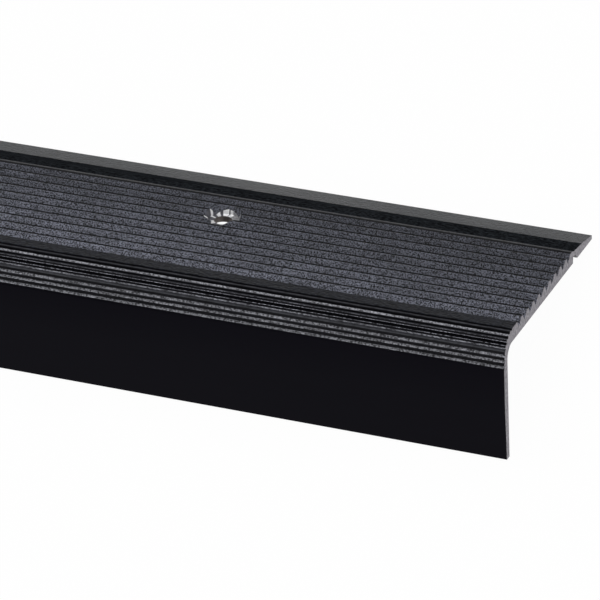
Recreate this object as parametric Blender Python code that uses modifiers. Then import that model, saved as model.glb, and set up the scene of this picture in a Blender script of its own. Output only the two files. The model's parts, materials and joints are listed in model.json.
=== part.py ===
"""Stair nosing: one length of extruded aluminium, ribbed on its tread and nose, with countersunk holes."""

import math

import bmesh
import bpy
from mathutils import Matrix, Vector

# Overall sizes, in metres
LENGTH = 1.000
TREAD_DEPTH = 0.0542  # back tip to the front of the nose
TREAD_THICKNESS = 0.0029  # underside to the tops of the teeth
LEG_DROP = 0.02465  # tread's underside to the foot of the leg

# Back edge of the tread: a thin tip, a ramp, a near-level land and a small bevel
TIP_THICKNESS = 0.0009
RAMP_LENGTH = 0.0069
RAMP_HEIGHT = 0.0020
LAND_LENGTH = 0.0052
LAND_HEIGHT = 0.0025
LAND_BEVEL = 0.00135

# Teeth across the tread, as many as fit between the back edge and the plain band at the nose
TOOTH_PITCH = 0.00336
TOOTH_FLAT = 0.0008
TOOTH_DEPTH = 0.00135
TOOTH_BACK_SLOPE = 0.00095  # run of the face that rises from a valley to the next flat
TOOTH_STEEP = 0.00095  # run and fall of the steep upper part of the face in front of a flat
PLAIN_BAND = 0.0025  # least width of the plain band

# Relief groove in the underside, near the back edge
RELIEF_FROM_TIP = 0.0095
RELIEF_WIDTH = 0.0028
RELIEF_DEPTH = 0.00135
RELIEF_SLOPE = 0.0014

# Nose and leg
NOSE_RADIUS = 0.0040
RIB_COUNT = 7
RIB_PITCH = 0.001222
FIRST_GROOVE = 0.00015  # start of the nose's turn to the middle of the first groove, along the skin
GROOVE_WIDTH = 0.00056
GROOVE_DEPTH = 0.00045
RIB_CHAMFER = 0.00007
LAST_GROOVE_TO_LEG = 0.00082
LEG_LEAN = math.radians(7.4)
LEG_THICKNESS = 0.0020
LEG_END_THICKNESS = 0.0015
LEG_TAPER = 0.0120
CORNER_RADIUS = 0.0024

# Screw holes
HOLE_COUNT = 5
HOLE_END_MARGIN = 0.0709
HOLE_FROM_TIP = 0.0216
HOLE_DIAMETER = 0.0041
SINK_DIAMETER = 0.0075  # at the tops of the teeth
SINK_FLOOR_DIAMETER = 0.0070
SINK_DEPTH = 0.0013  # tops of the teeth to the outer edge of the sink's floor
SINK_FLOOR_FALL = 0.0003  # from there to the edge of the hole
CUT_MARGIN = 0.0020  # how far a cutter reaches past the surface

ARC_STEPS = 6
HOLE_STEPS = 32


def arc(centre, radius, start, end, steps):
    """Points on a circle from one angle to another, both ends included."""
    points = []
    for i in range(steps + 1):
        angle = start + (end - start) * i / steps
        points.append((centre[0] + radius * math.cos(angle), centre[1] + radius * math.sin(angle)))
    return points


def nose_centre():
    return -TREAD_DEPTH + NOSE_RADIUS, TREAD_THICKNESS - NOSE_RADIUS


def nose_point(distance, depth=0.0):
    """A point on the nose by its distance along the skin, sunk by depth.

    The skin is level before the start of the turn, then goes round it and straight down."""
    centre = nose_centre()
    turn = min(max(distance, 0.0) / NOSE_RADIUS, math.pi / 2)
    straight = distance - turn * NOSE_RADIUS
    outward = (-math.sin(turn), math.cos(turn))
    along = (-math.cos(turn), -math.sin(turn))
    reach = NOSE_RADIUS - depth
    return (
        centre[0] + outward[0] * reach + along[0] * straight,
        centre[1] + outward[1] * reach + along[1] * straight,
    )


def back_edge():
    """The tip, ramp, land and bevel, from the tip's bottom corner up to the first tooth."""
    return [
        (0.0, 0.0),
        (0.0, TIP_THICKNESS),
        (-RAMP_LENGTH, RAMP_HEIGHT),
        (-RAMP_LENGTH - LAND_LENGTH, LAND_HEIGHT),
    ]


def teeth():
    """Flat tops and the valleys between them, from the back to the plain band at the nose."""
    start = -RAMP_LENGTH - LAND_LENGTH - LAND_BEVEL
    count = int((TREAD_DEPTH - NOSE_RADIUS + start - PLAIN_BAND) / TOOTH_PITCH)
    points = []
    for i in range(count):
        back = start - i * TOOTH_PITCH
        front = back - TOOTH_FLAT
        points.append((back, TREAD_THICKNESS))
        points.append((front, TREAD_THICKNESS))
        points.append((front - TOOTH_STEEP, TREAD_THICKNESS - TOOTH_STEEP))
        points.append((back - TOOTH_PITCH + TOOTH_BACK_SLOPE, TREAD_THICKNESS - TOOTH_DEPTH))
    points.append((start - count * TOOTH_PITCH, TREAD_THICKNESS))
    return points


def nose_ribs():
    """Fine ribs round the nose with chamfered edges, each groove between them a V in the skin."""
    points = []
    for i in range(RIB_COUNT + 1):
        middle = FIRST_GROOVE + i * RIB_PITCH
        points.append(nose_point(middle - GROOVE_WIDTH / 2 - RIB_CHAMFER))
        points.append(nose_point(middle - GROOVE_WIDTH / 2, RIB_CHAMFER))
        points.append(nose_point(middle, GROOVE_DEPTH))
        points.append(nose_point(middle + GROOVE_WIDTH / 2, RIB_CHAMFER))
        points.append(nose_point(middle + GROOVE_WIDTH / 2 + RIB_CHAMFER))
        if i < RIB_COUNT:
            points.append(nose_point(middle + RIB_PITCH / 2))
    return points


def leg_start():
    """Where the leg's outer face starts, as a distance along the skin."""
    return FIRST_GROOVE + RIB_COUNT * RIB_PITCH + LAST_GROOVE_TO_LEG


def leg_and_corner():
    """Down the leg's outer face, round its foot, and up its inner face to the tread's underside."""
    down = Vector((math.sin(LEG_LEAN), -math.cos(LEG_LEAN)))
    inward = Vector((math.cos(LEG_LEAN), math.sin(LEG_LEAN)))
    outer = Vector(nose_point(leg_start()))
    inner = outer + inward * LEG_THICKNESS
    foot = inner + down * ((inner.y + LEG_DROP) / math.cos(LEG_LEAN))
    outer_foot = foot - Vector((LEG_END_THICKNESS / math.cos(LEG_LEAN), 0.0))
    taper_start = foot - down * LEG_TAPER - inward * LEG_THICKNESS
    # The fillet touches the inner face and the underside.
    reach = CORNER_RADIUS / math.tan((math.pi / 2 - LEG_LEAN) / 2)
    corner = inner + down * (inner.y / math.cos(LEG_LEAN))
    centre = (corner.x + reach, -CORNER_RADIUS)
    fillet = arc(centre, CORNER_RADIUS, math.pi + LEG_LEAN, math.pi / 2, ARC_STEPS)
    return [tuple(outer), tuple(taper_start), tuple(outer_foot), tuple(foot)] + fillet


def underside():
    """The relief groove near the back edge."""
    front = -RELIEF_FROM_TIP - RELIEF_WIDTH
    return [
        (front, 0.0),
        (front, RELIEF_DEPTH),
        (-RELIEF_FROM_TIP - RELIEF_SLOPE, RELIEF_DEPTH),
        (-RELIEF_FROM_TIP, 0.0),
    ]


def section():
    """The closed outline, in metres: back tip at zero, the nose towards minus x, the tread's underside at zero."""
    return back_edge() + teeth() + nose_ribs() + leg_and_corner() + underside()


def stand_frame(outline):
    """Turns the section so that its tip and the foot of its leg both touch the floor, and centres it."""
    foot = max((point for point in outline if point[1] < -LEG_DROP + 1e-6), key=lambda point: point[0])
    turn = Matrix.Rotation(-math.atan2(-foot[1], -foot[0]), 4, "X")
    turned = [turn @ Vector((0.0, y, z)) for y, z in outline]
    lowest = min(point.z for point in turned)
    middle = (min(point.y for point in turned) + max(point.y for point in turned)) / 2
    return Matrix.Translation((0.0, -middle, -lowest)) @ turn


def principled(name, colour, roughness, metallic):
    material = bpy.data.materials.new(name)
    material.use_nodes = True
    shader = material.node_tree.nodes["Principled BSDF"]
    shader.inputs["Base Color"].default_value = (*colour, 1.0)
    shader.inputs["Roughness"].default_value = roughness
    shader.inputs["Metallic"].default_value = metallic
    return material


def extruded(name, outline, collection):
    """The section drawn as a flat curve, extruded along x and made a mesh with welded caps."""
    curve = bpy.data.curves.new(name + "_section", "CURVE")
    curve.dimensions = "2D"
    curve.fill_mode = "BOTH"
    curve.extrude = LENGTH / 2
    spline = curve.splines.new("POLY")
    spline.points.add(len(outline) - 1)
    for point, (x, y) in zip(spline.points, outline):
        point.co = (x, y, 0.0, 1.0)
    spline.use_cyclic_u = True
    drawn = bpy.data.objects.new(name + "_section", curve)
    collection.objects.link(drawn)
    drawn.rotation_euler = (math.pi / 2, 0.0, math.pi / 2)
    bpy.context.view_layer.update()
    graph = bpy.context.evaluated_depsgraph_get()
    mesh = bpy.data.meshes.new_from_object(drawn.evaluated_get(graph))
    solid = bmesh.new()
    solid.from_mesh(mesh)
    bmesh.ops.remove_doubles(solid, verts=solid.verts, dist=1e-7)
    bmesh.ops.recalc_face_normals(solid, faces=solid.faces)
    solid.to_mesh(mesh)
    solid.free()
    piece = bpy.data.objects.new(name, mesh)
    collection.objects.link(piece)
    piece.matrix_world = drawn.matrix_world
    bpy.data.objects.remove(drawn)
    bpy.data.curves.remove(curve)
    return piece


def sink_cutter(name, collection):
    """A turned cutter for one countersunk hole, its axis upright and its zero on the tread's underside."""
    flare = (SINK_DIAMETER - SINK_FLOOR_DIAMETER) / 2 / SINK_DEPTH
    floor = TREAD_THICKNESS - SINK_DEPTH
    profile = [
        (0.0, TREAD_THICKNESS + CUT_MARGIN),
        (SINK_DIAMETER / 2 + CUT_MARGIN * flare, TREAD_THICKNESS + CUT_MARGIN),
        (SINK_FLOOR_DIAMETER / 2, floor),
        (HOLE_DIAMETER / 2, floor - SINK_FLOOR_FALL),
        (HOLE_DIAMETER / 2, -CUT_MARGIN),
        (0.0, -CUT_MARGIN),
    ]
    mesh = bpy.data.meshes.new(name)
    drawing = bmesh.new()
    corners = [drawing.verts.new((radius, 0.0, height)) for radius, height in profile]
    for first, second in zip(corners, corners[1:]):
        drawing.edges.new((first, second))
    drawing.to_mesh(mesh)
    drawing.free()
    cutter = bpy.data.objects.new(name, mesh)
    collection.objects.link(cutter)
    turned = cutter.modifiers.new("turned", "SCREW")
    turned.steps = HOLE_STEPS
    turned.render_steps = HOLE_STEPS
    turned.use_merge_vertices = True
    turned.merge_threshold = 1e-6
    row = cutter.modifiers.new("row", "ARRAY")
    row.count = HOLE_COUNT
    row.use_relative_offset = False
    row.use_constant_offset = True
    row.constant_offset_displace = ((LENGTH - 2 * HOLE_END_MARGIN) / (HOLE_COUNT - 1), 0.0, 0.0)
    cutter.location = (-LENGTH / 2 + HOLE_END_MARGIN, -HOLE_FROM_TIP, 0.0)
    cutter.hide_render = True
    cutter.display_type = "WIRE"
    return cutter


def main():
    for old in list(bpy.data.objects):
        bpy.data.objects.remove(old, do_unlink=True)
    parts = bpy.data.collections.new("stair_nosing")
    cutters = bpy.data.collections.new("cutters")
    bpy.context.scene.collection.children.link(parts)
    bpy.context.scene.collection.children.link(cutters)

    outline = section()
    stand = bpy.data.objects.new("stand", None)
    parts.objects.link(stand)
    stand.matrix_world = stand_frame(outline)

    nosing = extruded("nosing", outline, parts)
    nosing.data.materials.append(principled("black_anodised", (0.02, 0.021, 0.024), 0.35, 0.6))
    nosing.data.shade_smooth()
    nosing.data.set_sharp_from_angle(angle=math.radians(20.0))
    nosing.parent = stand

    cutter = sink_cutter("screw_holes", cutters)
    cutter.parent = stand
    cut = nosing.modifiers.new("screw_holes", "BOOLEAN")
    cut.operation = "DIFFERENCE"
    cut.solver = "EXACT"
    cut.object = cutter


main()
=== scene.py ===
import json
import math

import bmesh
import bpy
from mathutils import Matrix, Vector, noise


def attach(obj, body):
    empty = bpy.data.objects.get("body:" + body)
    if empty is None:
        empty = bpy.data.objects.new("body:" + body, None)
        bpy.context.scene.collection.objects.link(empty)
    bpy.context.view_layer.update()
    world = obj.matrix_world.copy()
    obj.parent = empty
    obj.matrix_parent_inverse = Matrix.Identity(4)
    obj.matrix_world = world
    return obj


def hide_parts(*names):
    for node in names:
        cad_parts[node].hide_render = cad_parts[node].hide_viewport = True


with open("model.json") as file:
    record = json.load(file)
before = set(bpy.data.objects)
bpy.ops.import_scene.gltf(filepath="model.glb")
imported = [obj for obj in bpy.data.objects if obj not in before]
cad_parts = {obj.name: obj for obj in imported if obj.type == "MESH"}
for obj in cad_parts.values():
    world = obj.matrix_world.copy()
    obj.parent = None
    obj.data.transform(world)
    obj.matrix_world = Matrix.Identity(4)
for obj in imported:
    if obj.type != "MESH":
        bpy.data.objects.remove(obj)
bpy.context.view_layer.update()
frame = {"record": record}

# The section is drawn in millimetres in its upright position: y is 0 at the back tip and
# falls towards the nose, z is 0 on the underside of the tread, x runs along the length.
section = {
    "length": 1000.0,
    "treadDepth": 54.2,
    "treadThickness": 2.9,
    "legDrop": 24.65,
    "tipThickness": 0.9,
    "rampLength": 6.9,
    "rampHeight": 2.0,
    "landLength": 5.2,
    "landHeight": 2.5,
    "landBevel": 1.35,
    "bevelFoot": (0.35, 0.55),  # shares of the bevel's run and rise in its steeper lower part
    "toothCount": 10,
    "toothPitch": 3.36,
    "toothFlat": 0.8,
    "smoothFlat": 0.6,  # the part of the flat that kept its smooth coat
    "toothDepth": 1.35,
    "toothSteep": 0.95,
    "toothBend": 0.45,  # share of the steep face's fall in its upper half
    "toothBackSlope": 0.95,
    "noseRadius": 4.0,
    "ribCount": 7,
    "ribPitch": 1.222,
    "firstGroove": 0.15,
    "grooveWidth": 0.56,
    "grooveDepth": 0.45,
    "grooveSkew": 0.07,  # the bottom of each groove lies this far above its middle
    "ribEdge": 0.11,
    "lastGrooveToLeg": 0.82,
    "legLean": math.radians(7.4),
    "legThickness": 2.0,
    "legEndThickness": 1.5,
    "legTaper": 12.0,
    "cornerRadius": 2.4,
    "cornerSteps": 12,
    "reliefFromTip": 9.5,
    "reliefWidth": 2.8,
    "reliefDepth": 1.35,
    "reliefSlope": 1.4,
    "edgeRound": 0.12,
}

# The rough faces are a grid of this many columns, whose points are sunk and shifted a little.
relief = {
    "columns": 900,
    "toothSink": 0.06,
    "ribSink": 0.07,
    "least": 0.1,  # least share of the sink
    "strength": 0.9,  # how far the noise takes the share of the sink from a half
    "sideShift": 0.3,  # share of a column's width
    "sideOffset": 31.7,  # keeps the shift's noise apart from the sink's
    "plainEnd": 0.5,  # no shift this close to the ends
    "frequency": 1.3,  # lumps per millimetre
}

holes = {
    "count": 5,
    "endMargin": 70.9,
    "fromTip": 21.75,
    "throat": 3.7,
    "rim": 7.35,
    "floorRim": 6.85,
    "depth": 1.5,
    "floorFall": 0.22,
    "margin": 2.0,  # how far the cutters reach past the surface
    "steps": 72,
    "sharpAngle": 28.0,  # degrees between faces, from which their edge shows as sharp
    "throatShift": (-0.2, 0.77),  # the drill ran a little towards the back
    "chatter": 0.06,
    "scrape": (203.0, 250.0),  # the rim has a bare chamfer between these angles
    "scrapeOut": 0.1,  # how far it reaches past the rim
    "scrapeDepth": 0.55,
    "scrapeSlope": 1.35,  # run over fall
    "turnBetween": 97.0,  # degrees from one hole's marks to the next one's
}

# The countersink chattered. Each mark starts at this angle in degrees, seen from above and clockwise
# from the back, and has one finish on the wall and one on the floor of the sink. The bright, dull and
# scraped finishes are painted reflection and painted shade: lighter and darker metal that stands in for
# the bright and dark surroundings each facet mirrors. The bright marks stand out a little.
chatterMarksAndReflections = [
    (-95, "dull", "dull"), (-65, "bright", "bright"), (-55, "dull", "dull"), (-40, "bright", "bright"),
    (-30, "dull", "dull"), (-20, "bright", "bright"), (0, "dull", "scraped"), (5, "bright", "bright"),
    (15, "scraped", "scraped"), (65, "dull", "dull"), (110, "bright", "scraped"), (125, "dull", "dull"),
    (140, "bright", "bright"), (160, "scraped", "scraped"), (185, "dull", "dull"),
    (228, "bright", "bright"), (265, "bright", "scraped"),
]

finishes = [
    "ramp", "land", "bevel", "slope", "flat", "band", "soft", "rib", "nickAndHighlight", "wornAndHighlight", "groove", "leg",
    "hidden", "sawn", "bright", "dull", "scraped", "throat",
]

# The nose's faces take lighter and darker coats, partly wear and partly painted highlights and painted
# shade that stand in for the lines the lamps draw on the ribs. Each row is one groove from the tread
# down: the edge above it, its upper and lower face, the edge below it, and the top of the rib that
# follows.
noseWearAndHighlights = [
    ("band", "groove", "groove", "soft", "soft"),
    ("rib", "groove", "groove", "wornAndHighlight", "wornAndHighlight"),
    ("soft", "groove", "soft", "nickAndHighlight", "rib"),
    ("nickAndHighlight", "groove", "groove", "nickAndHighlight", "rib"),
    ("wornAndHighlight", "nickAndHighlight", "soft", "soft", "rib"),
    ("rib", "groove", "wornAndHighlight", "soft", "rib"),
    ("groove", "groove", "wornAndHighlight", "rib", "rib"),
    ("groove", "groove", "wornAndHighlight", "rib", "rib"),
]


def standMatrix():
    # The tread's underside tells how far the part is turned and where its tip meets the floor.
    seat = next(m for m in frame["record"]["mounts"] if m["name"] == "tread_seat")
    place = Vector(seat["pos_m"])
    normal = Vector(seat["axis"])
    tilt = math.atan2(-normal.y, -normal.z)
    tipY = place.y + place.z * normal.z / normal.y
    return Matrix.Translation((0.0, tipY, 0.0)) @ Matrix.Rotation(-tilt, 4, "X")


class Pen:
    # Draws the outline by extruding its last point. Each line notes its finish, and each
    # point how far the relief may sink it.
    def __init__(self, bm, start):
        self.bm = bm
        self.finish = bm.edges.layers.int.new("finish")
        self.sink = bm.verts.layers.float.new("sink")
        self.first = bm.verts.new((0.0, start[0], start[1]))
        self.tip = self.first

    def note(self, finish):
        for edge in self.bm.edges:
            if edge[self.finish] == 0:
                edge[self.finish] = finishes.index(finish) + 1

    def line(self, dy, dz, finish, sink=0.0):
        drawn = bmesh.ops.extrude_vert_indiv(self.bm, verts=[self.tip])
        self.tip = drawn["verts"][0]
        bmesh.ops.translate(self.bm, verts=[self.tip], vec=(0.0, dy, dz))
        self.tip[self.sink] = sink
        self.note(finish)

    def lineTo(self, y, z, finish, sink=0.0):
        self.line(y - self.tip.co.y, z - self.tip.co.z, finish, sink)

    def turn(self, cy, cz, angle, steps, finish):
        spun = bmesh.ops.spin(
            self.bm, geom=[self.tip], cent=(0.0, cy, cz), axis=(1.0, 0.0, 0.0), angle=angle, steps=steps
        )
        self.tip = next(g for g in spun["geom_last"] if isinstance(g, bmesh.types.BMVert))
        self.note(finish)

    def close(self, finish):
        self.bm.edges.new((self.tip, self.first))
        self.note(finish)


def drawBack(pen):
    s = section
    e = s["edgeRound"]
    pen.lineTo(0.0, s["tipThickness"] - e, "ramp")
    pen.line(-e, e, "ramp")
    pen.lineTo(-s["rampLength"], s["rampHeight"], "ramp")
    pen.lineTo(-s["rampLength"] - s["landLength"], s["landHeight"], "land")
    rise = s["treadThickness"] - s["landHeight"]
    footRun, footRise = s["bevelFoot"]
    pen.line(-s["landBevel"] * footRun, rise * footRise, "bevel")
    pen.line(-s["landBevel"] * (1.0 - footRun), rise * (1.0 - footRise), "bevel")


def drawTeeth(pen):
    s = section
    sink = relief["toothSink"]
    shallow = s["toothPitch"] - s["toothFlat"] - s["toothSteep"] - s["toothBackSlope"]
    for i in range(s["toothCount"]):
        pen.line(-s["smoothFlat"], 0.0, "flat")
        pen.line(s["smoothFlat"] - s["toothFlat"], 0.0, "slope" if i else "flat")
        pen.line(-s["toothSteep"] / 2, -s["toothSteep"] * s["toothBend"], "slope", sink)
        pen.line(-s["toothSteep"] / 2, -s["toothSteep"] * (1.0 - s["toothBend"]), "slope", sink)
        pen.line(-shallow, s["toothSteep"] - s["toothDepth"], "slope", sink)
        pen.line(-s["toothBackSlope"], s["toothDepth"], "slope")


def nosePoint(skin, depth):
    # A point on the nose by its distance along the skin, level before the turn and upright after it.
    s = section
    turn = min(max(skin, 0.0) / s["noseRadius"], math.pi / 2)
    straight = skin - turn * s["noseRadius"]
    reach = s["noseRadius"] - depth
    y = -s["treadDepth"] + s["noseRadius"] - math.sin(turn) * reach - math.cos(turn) * straight
    z = s["treadThickness"] - s["noseRadius"] + math.cos(turn) * reach - math.sin(turn) * straight
    return y, z


def drawNose(pen):
    s = section
    edge = s["ribEdge"]
    half = s["grooveWidth"] / 2
    sink = relief["ribSink"]
    # The nose coats paint the ribs' highlight lines and dark gaps in part.
    for i, (above, upper, lower, below, crest) in enumerate(noseWearAndHighlights):
        middle = s["firstGroove"] + i * s["ribPitch"]
        pen.lineTo(*nosePoint(middle - half - edge, 0.0), noseWearAndHighlights[i - 1][4] if i else "band", sink)
        pen.lineTo(*nosePoint(middle - half, edge), above, sink)
        pen.lineTo(*nosePoint(middle - s["grooveSkew"], s["grooveDepth"]), upper)
        pen.lineTo(*nosePoint(middle + half, edge), lower, sink)
        pen.lineTo(*nosePoint(middle + half + edge, 0.0), below, sink)
    leg = s["firstGroove"] + s["ribCount"] * s["ribPitch"] + s["lastGrooveToLeg"]
    pen.lineTo(*nosePoint(leg, 0.0), "leg")


def drawLeg(pen):
    s = section
    down = Vector((math.sin(s["legLean"]), -math.cos(s["legLean"])))
    inward = Vector((math.cos(s["legLean"]), math.sin(s["legLean"])))
    inner = pen.tip.co.yz + inward * s["legThickness"]
    foot = inner + down * ((inner.y + s["legDrop"]) / math.cos(s["legLean"]))
    taper = foot - down * s["legTaper"] - inward * s["legThickness"]
    footThickness = s["legEndThickness"] / math.cos(s["legLean"])
    pen.lineTo(taper.x, taper.y, "leg")
    pen.lineTo(foot.x - footThickness, foot.y, "leg")
    pen.lineTo(foot.x, foot.y, "hidden")
    # Inner corner and underside
    corner = inner + down * (inner.y / math.cos(s["legLean"]))
    reach = s["cornerRadius"] / math.tan((math.pi / 2 - s["legLean"]) / 2)
    filletY = corner.x + reach
    filletZ = -s["cornerRadius"]
    start = Vector((filletY, filletZ)) - inward * s["cornerRadius"]
    pen.lineTo(start.x, start.y, "hidden")
    pen.turn(filletY, filletZ, -(math.pi / 2 + s["legLean"]), s["cornerSteps"], "hidden")
    front = -s["reliefFromTip"] - s["reliefWidth"]
    pen.lineTo(front, 0.0, "hidden")
    pen.lineTo(front, s["reliefDepth"], "hidden")
    pen.lineTo(-s["reliefFromTip"] - s["reliefSlope"], s["reliefDepth"], "hidden")
    pen.lineTo(-s["reliefFromTip"], 0.0, "hidden")
    pen.close("hidden")


def meshObject(name, bm):
    mesh = bpy.data.meshes.new(name)
    bm.to_mesh(mesh)
    bm.free()
    made = bpy.data.objects.new(name, mesh)
    bpy.context.scene.collection.objects.link(made)
    return made


def roughen(bm, sinkLayer):
    # Sinks and shifts the points of the rough faces by smooth noise, and leaves the two ends flat.
    r = relief
    inner = section["length"] / 2 - r["plainEnd"]
    widest = section["length"] / r["columns"] * r["sideShift"]
    apart = Vector((r["sideOffset"], 0.0, 0.0))
    bm.normal_update()
    moves = []
    for vert in bm.verts:
        sink = vert[sinkLayer]
        if sink > 0.0:
            at = vert.co * r["frequency"]
            deep = min(1.0, max(r["least"], 0.5 + r["strength"] * noise.noise(at)))
            side = noise.noise(at + apart) if abs(vert.co.x) < inner else 0.0
            move = vert.normal * -sink * deep
            move.x = side * widest * min(1.0, sink / r["ribSink"])
            moves.append((vert, move))
    for vert, move in moves:
        vert.co += move


def makeProfile(materials):
    bm = bmesh.new()
    pen = Pen(bm, (0.0, 0.0))
    drawBack(pen)
    drawTeeth(pen)
    drawNose(pen)
    drawLeg(pen)
    bmesh.ops.translate(bm, verts=bm.verts[:], vec=(-section["length"] / 2, 0.0, 0.0))
    drawn = bmesh.ops.extrude_edge_only(bm, edges=bm.edges[:])
    far = [g for g in drawn["geom"] if isinstance(g, bmesh.types.BMVert)]
    bmesh.ops.translate(bm, verts=far, vec=(section["length"], 0.0, 0.0))
    for face in bm.faces:
        face.material_index = max(edge[pen.finish] for edge in face.edges) - 1
    smooth = [finishes.index(f) for f in ("ramp", "land", "leg", "hidden")]
    long = [e for e in bm.edges if abs(e.verts[0].co.x - e.verts[1].co.x) > 1.0]
    rough = [e for e in long if any(face.material_index not in smooth for face in e.link_faces)]
    bmesh.ops.subdivide_edges(bm, edges=rough, cuts=relief["columns"] - 1, use_grid_fill=True)
    rims = [edge for edge in bm.edges if edge.is_boundary]
    caps = bmesh.ops.holes_fill(bm, edges=rims, sides=0)["faces"]
    for cap in caps:
        cap.material_index = finishes.index("sawn")
    bmesh.ops.recalc_face_normals(bm, faces=bm.faces[:])
    roughen(bm, pen.sink)
    piece = meshObject("nosingProfile", bm)
    for finish in finishes:
        piece.data.materials.append(materials[finish])
    return piece


def holePlaces():
    h = holes
    spacing = (section["length"] - 2 * h["endMargin"]) / (h["count"] - 1)
    return [-section["length"] / 2 + h["endMargin"] + i * spacing for i in range(h["count"])]


def markAt(angle):
    # The finishes of the wall and the floor at an angle in degrees
    first = chatterMarksAndReflections[0][0]
    turned = (angle - first) % 360.0 + first
    return [(wall, base) for start, wall, base in chatterMarksAndReflections if start <= turned][-1]


def turnFrom(centre, place):
    # The way out from a hole's middle, and its angle in degrees, clockwise from the back
    out = Vector((place.x - centre.x, place.y - centre.y, 0.0))
    return out.normalized(), math.degrees(math.atan2(out.x, out.y))


def isScraped(angle):
    start, end = holes["scrape"]
    return start < angle % 360.0 < end


def makeSinkCutter(materials):
    h = holes
    surface = section["treadThickness"]
    floor = surface - h["depth"]
    top = surface + h["margin"]
    flare = (h["rim"] - h["floorRim"]) / 2 / h["depth"]
    drop = h["floorFall"] * h["floorRim"] / (h["floorRim"] - h["throat"])
    scrapeFoot = surface - h["scrapeDepth"]
    near = 0.01  # millimetres
    step = 360.0 / h["steps"]
    marks = ["bright", "dull", "scraped"]
    bm = bmesh.new()
    for i, x in enumerate(holePlaces()):
        centre = Vector((x, -h["fromTip"], 0.0))
        turn = (h["count"] - 1 - i) * h["turnBetween"]
        before = set(bm.faces)
        bmesh.ops.create_cone(
            bm, cap_ends=True, segments=h["steps"], radius1=h["floorRim"] / 2,
            radius2=h["floorRim"] / 2 + flare * (top - floor), depth=top - floor,
            matrix=Matrix.Translation(centre + Vector((0.0, 0.0, (floor + top) / 2))),
        )
        base = [f for f in bm.faces if f not in before and f.calc_center_median().z < floor + near]
        point = bmesh.ops.poke(bm, faces=base)["verts"][0]
        bmesh.ops.translate(bm, verts=[point], vec=(*h["throatShift"], -drop))
        made = [f for f in bm.faces if f not in before]
        parts = list({p for f in made for p in (f, *f.edges, *f.verts)})
        bmesh.ops.bisect_plane(bm, geom=parts, plane_co=(0.0, 0.0, scrapeFoot), plane_no=(0.0, 0.0, 1.0))
        made = [f for f in bm.faces if f not in before]
        for vert in {v for f in made for v in f.verts if v is not point}:
            out, angle = turnFrom(centre, vert.co)
            # A corner between two marks goes with the one after it.
            if markAt(angle + turn + step / 10)[0] != "bright":
                vert.co += out * h["chatter"]
            if vert.co.z > scrapeFoot - near and isScraped(angle + turn):
                reach = h["rim"] / 2 + h["scrapeOut"] + (vert.co.z - surface) * h["scrapeSlope"]
                vert.co = centre + out * reach + Vector((0.0, 0.0, vert.co.z))
        bm.normal_update()
        # Each face takes the lighter or darker metal of its mark, a painted reflection.
        for face in made:
            middle = face.calc_center_median()
            angle = turnFrom(centre, middle)[1] + turn
            wall, base = markAt(angle)
            if middle.z > scrapeFoot and isScraped(angle):
                wall = "bright"
            isFloor = face.normal.z < -0.8
            face.material_index = marks.index(base if isFloor else wall)
    cutter = meshObject("sinkTool", bm)
    for mark in marks:
        cutter.data.materials.append(materials[mark])
    return cutter


def makeThroatCutter(materials):
    h = holes
    bm = bmesh.new()
    height = section["treadThickness"] + 2 * h["margin"]
    for x in holePlaces():
        shiftX, shiftY = h["throatShift"]
        place = Matrix.Translation((x + shiftX, shiftY - h["fromTip"], section["treadThickness"] / 2))
        bmesh.ops.create_cone(
            bm, cap_ends=True, segments=h["steps"], radius1=h["throat"] / 2,
            radius2=h["throat"] / 2, depth=height, matrix=place,
        )
    cutter = meshObject("throatTool", bm)
    cutter.data.materials.append(materials["throat"])
    return cutter


def cutHoles(piece, cutters):
    for cutter in cutters:
        cut = piece.modifiers.new("holes", "BOOLEAN")
        cut.operation = "DIFFERENCE"
        cut.solver = "EXACT"
        cut.material_mode = "TRANSFER"
        cut.object = cutter
    graph = bpy.context.evaluated_depsgraph_get()
    cutMesh = bpy.data.meshes.new_from_object(piece.evaluated_get(graph))
    piece.modifiers.clear()
    piece.data = cutMesh
    for cutter in cutters:
        bpy.data.objects.remove(cutter)
    cutMesh.shade_smooth()
    cutMesh.set_sharp_from_angle(angle=math.radians(holes["sharpAngle"]))


grainNoise = {"lumpDetail": 2.0, "lumpRoughness": 0.6, "patchDetail": 3.0}


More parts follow.
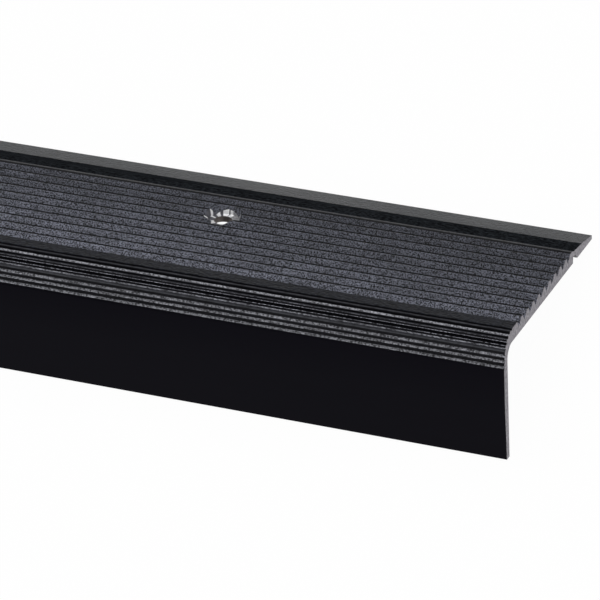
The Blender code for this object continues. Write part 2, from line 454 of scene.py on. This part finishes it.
def makeGrainGroup():
    # Fine lumps in the surface, and wide patches that took the coat or the wear unevenly.
    group = bpy.data.node_groups.new("grain", "ShaderNodeTree")
    for name in ("Scale", "Stretch", "Patch Scale", "Spread"):
        group.interface.new_socket(name, in_out="INPUT", socket_type="NodeSocketFloat")
    for name in ("Lumps", "Patches"):
        group.interface.new_socket(name, in_out="OUTPUT", socket_type="NodeSocketFloat")
    nodes, links = group.nodes, group.links
    given = nodes.new("NodeGroupInput")
    result = nodes.new("NodeGroupOutput")
    place = nodes.new("ShaderNodeTexCoord")
    along = nodes.new("ShaderNodeCombineXYZ")
    along.inputs["Y"].default_value = 1.0
    along.inputs["Z"].default_value = 1.0
    links.new(given.outputs["Stretch"], along.inputs["X"])
    stretched = nodes.new("ShaderNodeVectorMath")
    stretched.operation = "MULTIPLY"
    links.new(place.outputs["Object"], stretched.inputs[0])
    links.new(along.outputs["Vector"], stretched.inputs[1])
    lumps = nodes.new("ShaderNodeTexNoise")
    lumps.inputs["Detail"].default_value = grainNoise["lumpDetail"]
    lumps.inputs["Roughness"].default_value = grainNoise["lumpRoughness"]
    wide = nodes.new("ShaderNodeTexNoise")
    wide.inputs["Detail"].default_value = grainNoise["patchDetail"]
    # The noise keeps near its middle, so the part of it within Spread of 0.5 is taken out to 0 and 1.
    low = nodes.new("ShaderNodeMath")
    low.operation = "SUBTRACT"
    low.inputs[0].default_value = 0.5
    high = nodes.new("ShaderNodeMath")
    high.operation = "ADD"
    high.inputs[0].default_value = 0.5
    links.new(given.outputs["Spread"], low.inputs[1])
    links.new(given.outputs["Spread"], high.inputs[1])
    for texture, scale, output in ((lumps, "Scale", "Lumps"), (wide, "Patch Scale", "Patches")):
        links.new(stretched.outputs["Vector"], texture.inputs["Vector"])
        links.new(given.outputs[scale], texture.inputs["Scale"])
        spread = nodes.new("ShaderNodeMapRange")
        links.new(low.outputs[0], spread.inputs["From Min"])
        links.new(high.outputs[0], spread.inputs["From Max"])
        links.new(texture.outputs["Fac"], spread.inputs["Value"])
        links.new(spread.outputs["Result"], result.inputs[output])
    return group


# Each coat: its colour, how far the lumps and the patches lighten and darken it, its gloss, the
# lowest and highest roughness, the lumps per metre, their stretch along the length, the patches
# per metre, and the height of the lumps in metres.
# All coats are the one black coat. The paler coats of the bevel, the tooth slopes and the nose edges are
# partly painted light: they stand in for the light and highlights that these faces catch from the lamps.
coats = {
    "ramp": ((0.019, 0.021, 0.025), 0.80, 0.08, 0.105, (0.30, 0.40), 2000, 0.6, 60, 0.000080),
    "land": ((0.0130, 0.0147, 0.0170), 0.98, 0.15, 0.00, (0.60, 0.70), 2200, 0.6, 200, 0.000070),
    "bevel": ((0.030, 0.031, 0.037), 0.90, 0.10, 0.05, (0.40, 0.50), 2200, 0.7, 200, 0.000050),
    "slope": ((0.0750, 0.0785, 0.0965), 0.92, 0.10, 0.25, (0.40, 0.60), 3600, 1.0, 130, 0.000130),
    "flat": ((0.002, 0.0022, 0.003), 0.30, 0.20, 0.02, (0.35, 0.50), 1500, 0.6, 200, 0.000010),
    "band": ((0.010, 0.011, 0.015), 0.80, 0.15, 0.045, (0.32, 0.42), 2000, 0.6, 120, 0.000060),
    "soft": ((0.036, 0.037, 0.043), 0.40, 0.20, 0.10, (0.35, 0.45), 1300, 0.6, 200, 0.000020),
    "rib": ((0.006, 0.006, 0.0075), 0.20, 0.20, 0.04, (0.30, 0.40), 1300, 0.5, 200, 0.000010),
    "nickAndHighlight": ((0.190, 0.193, 0.220), 0.90, 0.25, 0.15, (0.35, 0.50), 2600, 0.9, 260, 0.000040),
    "wornAndHighlight": ((0.210, 0.213, 0.236), 0.80, 0.15, 0.20, (0.35, 0.50), 2600, 0.9, 260, 0.000080),
    "groove": ((0.003, 0.003, 0.004), 0.20, 0.20, 0.02, (0.35, 0.45), 1300, 0.5, 200, 0.000010),
    "leg": ((0.0017, 0.0014, 0.0036), 0.04, 0.10, 0.045, (0.26, 0.32), 900, 0.1, 40, 0.000002),
    "hidden": ((0.012, 0.012, 0.015), 0.05, 0.10, 0.20, (0.32, 0.44), 900, 0.1, 60, 0.000003),
}

# A small spread makes the lumps stand apart from each other.
plainSpread = 0.2
sharpGrain = {"slope": 0.10, "nickAndHighlight": 0.12, "wornAndHighlight": 0.12}

# Painted light: the slopes are paled towards the nose and away from the ends, standing in for the
# stronger light that falls there. From and to these places in metres, the colour is multiplied by the
# two numbers after them.
paintedTreadLight = {
    "acrossY": (-0.014, 0.016, 1.70, 0.82),
    "alongX": (0.380, 0.475, 1.32, 1.02),
}


def addPaintedTreadLight(nodes, links, colour, shader):
    place = nodes.new("ShaderNodeTexCoord")
    apart = nodes.new("ShaderNodeSeparateXYZ")
    links.new(place.outputs["Object"], apart.inputs["Vector"])
    fromEnd = nodes.new("ShaderNodeMath")
    fromEnd.operation = "ABSOLUTE"
    links.new(apart.outputs["X"], fromEnd.inputs[0])
    for key, output in (("acrossY", apart.outputs["Y"]), ("alongX", fromEnd.outputs[0])):
        paintedLightScale = nodes.new("ShaderNodeMapRange")
        paintedLightScale.inputs["From Min"].default_value, paintedLightScale.inputs["From Max"].default_value = paintedTreadLight[key][:2]
        paintedLightScale.inputs["To Min"].default_value, paintedLightScale.inputs["To Max"].default_value = paintedTreadLight[key][2:]
        links.new(output, paintedLightScale.inputs["Value"])
        scaled = nodes.new("ShaderNodeVectorMath")
        scaled.operation = "SCALE"
        links.new(colour, scaled.inputs[0])
        links.new(paintedLightScale.outputs["Result"], scaled.inputs["Scale"])
        colour = scaled.outputs["Vector"]
    links.new(colour, shader.inputs["Base Color"])


def makeCoat(name, grainGroup):
    colour, lumpShade, patchShade, gloss, rough, scale, stretch, patchScale, height = coats[name]
    material = bpy.data.materials.new(name)
    material.use_nodes = True
    nodes, links = material.node_tree.nodes, material.node_tree.links
    shader = nodes["Principled BSDF"]
    shader.inputs["Specular IOR Level"].default_value = gloss
    grain = nodes.new("ShaderNodeGroup")
    grain.node_tree = grainGroup
    grain.inputs["Scale"].default_value = scale
    grain.inputs["Stretch"].default_value = stretch
    grain.inputs["Patch Scale"].default_value = patchScale
    grain.inputs["Spread"].default_value = sharpGrain.get(name, plainSpread)
    shades = []
    for output, shade in (("Lumps", lumpShade), ("Patches", patchShade)):
        tint = nodes.new("ShaderNodeMix")
        tint.data_type = "RGBA"
        tint.inputs["A"].default_value = (1.0 - shade, 1.0 - shade, 1.0 - shade, 1.0)
        tint.inputs["B"].default_value = (1.0 + shade, 1.0 + shade, 1.0 + shade, 1.0)
        links.new(grain.outputs[output], tint.inputs["Factor"])
        shades.append(tint)
    both = nodes.new("ShaderNodeVectorMath")
    both.operation = "MULTIPLY"
    links.new(shades[0].outputs["Result"], both.inputs[0])
    links.new(shades[1].outputs["Result"], both.inputs[1])
    coloured = nodes.new("ShaderNodeVectorMath")
    coloured.operation = "MULTIPLY"
    coloured.inputs[1].default_value = colour
    links.new(both.outputs["Vector"], coloured.inputs[0])
    links.new(coloured.outputs["Vector"], shader.inputs["Base Color"])
    # The slope coat gets the painted light gradient along and across the tread.
    if name == "slope":
        addPaintedTreadLight(nodes, links, coloured.outputs["Vector"], shader)
    sheen = nodes.new("ShaderNodeMapRange")
    sheen.inputs["To Min"].default_value, sheen.inputs["To Max"].default_value = rough
    links.new(grain.outputs["Patches"], sheen.inputs["Value"])
    links.new(sheen.outputs["Result"], shader.inputs["Roughness"])
    bump = nodes.new("ShaderNodeBump")
    bump.inputs["Distance"].default_value = height
    links.new(grain.outputs["Lumps"], bump.inputs["Height"])
    links.new(bump.outputs["Normal"], shader.inputs["Normal"])
    return material


# Each bare metal: its light and its dark colour, how metallic it is, its roughness, the lumps per
# metre, and the height of the lumps in metres.
metals = {
    "sawn": ((0.285, 0.268, 0.300), (0.065, 0.060, 0.072), 0.0, 0.50, 1700, 0.000040),
    # bright, dull and scraped paint the facets' bright and dark reflections as lighter and darker metal.
    "bright": ((1.0, 1.0, 1.0), (0.92, 0.92, 0.94), 0.6, 0.45, 1500, 0.000010),
    "dull": ((0.16, 0.16, 0.18), (0.07, 0.07, 0.08), 0.5, 0.45, 1500, 0.000020),
    "scraped": ((0.55, 0.55, 0.57), (0.18, 0.18, 0.19), 0.5, 0.40, 2400, 0.000030),
    "throat": ((0.20, 0.175, 0.16), (0.07, 0.06, 0.058), 0.4, 0.50, 900, 0.000050),
}
metalPatches = 200.0  # per metre


def makeMetal(name, grainGroup):
    light, dark, metallic, rough, scale, height = metals[name]
    material = bpy.data.materials.new(name)
    material.use_nodes = True
    nodes, links = material.node_tree.nodes, material.node_tree.links
    shader = nodes["Principled BSDF"]
    shader.inputs["Metallic"].default_value = metallic
    shader.inputs["Roughness"].default_value = rough
    grain = nodes.new("ShaderNodeGroup")
    grain.node_tree = grainGroup
    grain.inputs["Scale"].default_value = scale
    grain.inputs["Stretch"].default_value = 1.0
    grain.inputs["Patch Scale"].default_value = metalPatches
    grain.inputs["Spread"].default_value = plainSpread
    tint = nodes.new("ShaderNodeMix")
    tint.data_type = "RGBA"
    tint.inputs["A"].default_value = (*dark, 1.0)
    tint.inputs["B"].default_value = (*light, 1.0)
    links.new(grain.outputs["Lumps"], tint.inputs["Factor"])
    links.new(tint.outputs["Result"], shader.inputs["Base Color"])
    bump = nodes.new("ShaderNodeBump")
    bump.inputs["Distance"].default_value = height
    links.new(grain.outputs["Lumps"], bump.inputs["Height"])
    links.new(bump.outputs["Normal"], shader.inputs["Normal"])
    return material


def makeMaterials():
    grainGroup = makeGrainGroup()
    made = {name: makeCoat(name, grainGroup) for name in coats}
    made.update({name: makeMetal(name, grainGroup) for name in metals})
    return made


camera = {
    "focalPixels": 3816.6,
    "imagePixels": 600,
    "azimuth": math.radians(21.48),
    "elevation": math.radians(25.65),
    "pixelsPerMetre": 5000.0,  # at the near corner of the back tip
    "tipPixel": (591.3, 238.6),
    "centrePixel": (299.5, 299.5),
    "sensor": 36.0,  # millimetres
    "clip": (0.01, 150.0),
}


def makeCamera(stand):
    c = camera
    a, e = c["azimuth"], c["elevation"]
    right = Vector((math.cos(a), math.sin(a), 0.0))
    up = Vector((-math.sin(a) * math.sin(e), math.cos(a) * math.sin(e), math.cos(e)))
    forward = up.cross(right)
    across = c["tipPixel"][0] - c["centrePixel"][0]
    rise = c["centrePixel"][1] - c["tipPixel"][1]
    tip = Vector((section["length"] / 2000, 0.0, 0.0))
    ray = forward * c["focalPixels"] + right * across + up * rise
    place = tip - ray / c["pixelsPerMetre"]
    data = bpy.data.cameras.new("camera")
    data.sensor_width = c["sensor"]
    data.lens = c["focalPixels"] / c["imagePixels"] * data.sensor_width
    data.clip_start, data.clip_end = c["clip"]
    made = bpy.data.objects.new("camera", data)
    bpy.context.scene.collection.objects.link(made)
    turned = Matrix((right, up, -forward)).transposed().to_4x4()
    made.matrix_world = stand @ Matrix.Translation(place) @ turned
    bpy.context.scene.camera = made


stage = {
    "floorHalf": 60.0,  # wide enough to reach the horizon in a low view
    "floorWhite": 0.97,  # share of plain white that the camera and reflections see
    "worldLight": 0.25,
    "floorColour": (0.9, 0.9, 0.9, 1.0),
    "floorRough": 0.9,
}


def makeFloor():
    bm = bmesh.new()
    bmesh.ops.create_grid(bm, x_segments=1, y_segments=1, size=stage["floorHalf"])
    floor = meshObject("floor", bm)
    material = bpy.data.materials.new("paleFloor")
    material.use_nodes = True
    nodes, links = material.node_tree.nodes, material.node_tree.links
    shader = nodes["Principled BSDF"]
    shader.inputs["Base Color"].default_value = stage["floorColour"]
    shader.inputs["Roughness"].default_value = stage["floorRough"]
    white = nodes.new("ShaderNodeEmission")
    path = nodes.new("ShaderNodeLightPath")
    seen = nodes.new("ShaderNodeMath")
    seen.operation = "MAXIMUM"
    links.new(path.outputs["Is Camera Ray"], seen.inputs[0])
    links.new(path.outputs["Is Glossy Ray"], seen.inputs[1])
    through = nodes.new("ShaderNodeMath")
    through.operation = "MAXIMUM"
    links.new(seen.outputs[0], through.inputs[0])
    links.new(path.outputs["Is Transmission Ray"], through.inputs[1])
    share = nodes.new("ShaderNodeMath")
    share.operation = "MULTIPLY"
    share.inputs[1].default_value = stage["floorWhite"]
    links.new(through.outputs[0], share.inputs[0])
    mix = nodes.new("ShaderNodeMixShader")
    links.new(share.outputs[0], mix.inputs[0])
    links.new(shader.outputs[0], mix.inputs[1])
    links.new(white.outputs[0], mix.inputs[2])
    links.new(mix.outputs[0], nodes["Material Output"].inputs["Surface"])
    floor.data.materials.append(material)


# Place, aim, width, depth and watts of each lamp
lamps = {
    "overhead": ((0.0, 0.40, 1.35), (0.0, 0.0, 0.0), (2.4, 1.0), 13.0),
    "front": ((0.3, -1.8, 1.0), (0.0, 0.0, 0.0), (1.2, 0.9), 14.0),
    "right": ((2.2, -0.3, 0.9), (0.45, 0.0, 0.0), (0.9, 0.9), 12.0),
}


def makeLamp(name):
    place, aim, size, watts = lamps[name]
    data = bpy.data.lights.new(name, "AREA")
    data.shape = "RECTANGLE"
    data.size, data.size_y = size
    data.energy = watts
    lamp = bpy.data.objects.new(name, data)
    bpy.context.scene.collection.objects.link(lamp)
    lamp.location = place
    lamp.rotation_euler = (Vector(aim) - Vector(place)).to_track_quat("-Z", "Y").to_euler()
    lamp.visible_camera = False


def makeWorld():
    world = bpy.data.worlds.new("studio")
    world.use_nodes = True
    background = world.node_tree.nodes["Background"]
    background.inputs["Color"].default_value = (1.0, 1.0, 1.0, 1.0)
    background.inputs["Strength"].default_value = stage["worldLight"]
    bpy.context.scene.world = world


def main():
    print("materials")
    materials = makeMaterials()
    print("profile")
    stand = standMatrix()
    piece = makeProfile(materials)
    print("holes")
    cutHoles(piece, [makeSinkCutter(materials), makeThroatCutter(materials)])
    piece.data.transform(stand @ Matrix.Scale(0.001, 4))
    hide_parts("nosing")
    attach(piece, "root")
    print("studio")
    makeCamera(stand)
    makeFloor()
    makeWorld()
    for name in lamps:
        makeLamp(name)
    bpy.context.scene.view_settings.view_transform = "Standard"
    print("triangles", sum(len(face.vertices) - 2 for face in piece.data.polygons))


main()
